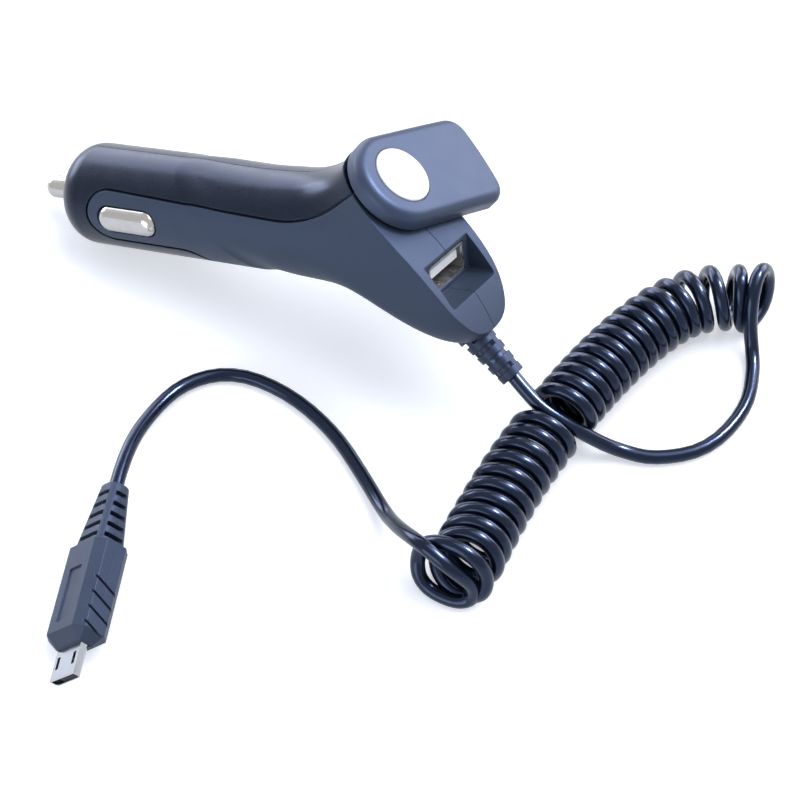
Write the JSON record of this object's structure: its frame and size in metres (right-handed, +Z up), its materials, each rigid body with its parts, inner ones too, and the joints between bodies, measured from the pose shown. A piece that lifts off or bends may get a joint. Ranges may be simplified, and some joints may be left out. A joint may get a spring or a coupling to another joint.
{
  "type": "car usb charger",
  "caption": "Car charger with a lighter plug barrel, sprung contacts, a slanted head with a swivelling lid over a USB-A port, and a curly cord to a micro-USB plug.",
  "frame": {"origin": "on the floor under the middle of the charger's own box, without the cord and its plug", "axes": "+X from the nose of the barrel to the head, as it lies on the floor; +Z up; +Y to the far side, where the lid is swung out"},
  "size_m": [0.152, 0.1384, 0.0466],
  "materials": {
    "matt_shell": "black plastic with a fine moulded grain",
    "gloss_shell": "polished black plastic",
    "nickel": "nickel plate",
    "spring_steel": "drawn wire",
    "port_steel": "tinned sheet",
    "port_plastic": "white moulded plastic",
    "gold_contact": "gold flash",
    "board": "green solder mask",
    "ferrite": "sintered ferrite",
    "capacitor_can": "drawn can",
    "chip_resin": "moulded resin",
    "lid_plastic": "dark plastic with a satin grain",
    "white_plastic": "plain white printed disc",
    "rivet_steel": "turned steel",
    "soft_pvc": "soft black moulding",
    "grip_plastic": "soft black moulding with a fine grain",
    "plug_steel": "bright sheet",
    "plug_plastic": "black moulded plastic",
    "cord_pvc": "smooth black cord jacket"
  },
  "bodies": {
    "charger": {"left_housing": "matt_shell", "right_housing": "matt_shell", "left_cover": "gloss_shell", "right_cover": "gloss_shell", "tip_spring": "spring_steel", "usb_shell": "port_steel", "usb_tongue": "port_plastic", "usb_contacts": "gold_contact", "circuit_board": "board", "inductor": "ferrite", "capacitor": "capacitor_can", "converter_chip": "chip_resin", "cord_gland": "soft_pvc", "plug_grip": "grip_plastic", "plug_shell": "plug_steel", "plug_insulator": "plug_plastic", "plug_contacts": "gold_contact", "cord_lead": "cord_pvc", "cord_coil": "cord_pvc", "plug_lead": "cord_pvc"},
    "lid": {"lid": "lid_plastic", "lid_disc": "white_plastic", "lid_rivet": "rivet_steel"},
    "tip": {"tip_contact": "nickel"},
    "left_ear": {"left_contact": "nickel"},
    "right_ear": {"right_contact": "nickel"}
  },
  "joints": [
    {"name": "lid_swivel", "type": "hinge", "parent": "charger", "child": "lid", "pos_m": [0.02261, -0.00423, 0.03835], "axis": [0.4937, 0.2334, 0.8377], "range_deg": [-75, 34]},
    {"name": "tip_press", "type": "slide", "parent": "charger", "child": "tip", "axis": [0.958, 0, 0.2869], "range_m": [0, 0.003], "stiffness_N_per_m": 800, "deforming": ["tip_spring"]},
    {"name": "left_press", "type": "slide", "parent": "charger", "child": "left_ear", "axis": [0.0955, 0.9429, -0.319], "range_m": [0, 0.0011], "stiffness_N_per_m": 1500},
    {"name": "right_press", "type": "slide", "parent": "charger", "child": "right_ear", "axis": [-0.0955, -0.9429, 0.319], "range_m": [0, 0.0011], "stiffness_N_per_m": 1500}
  ]
}
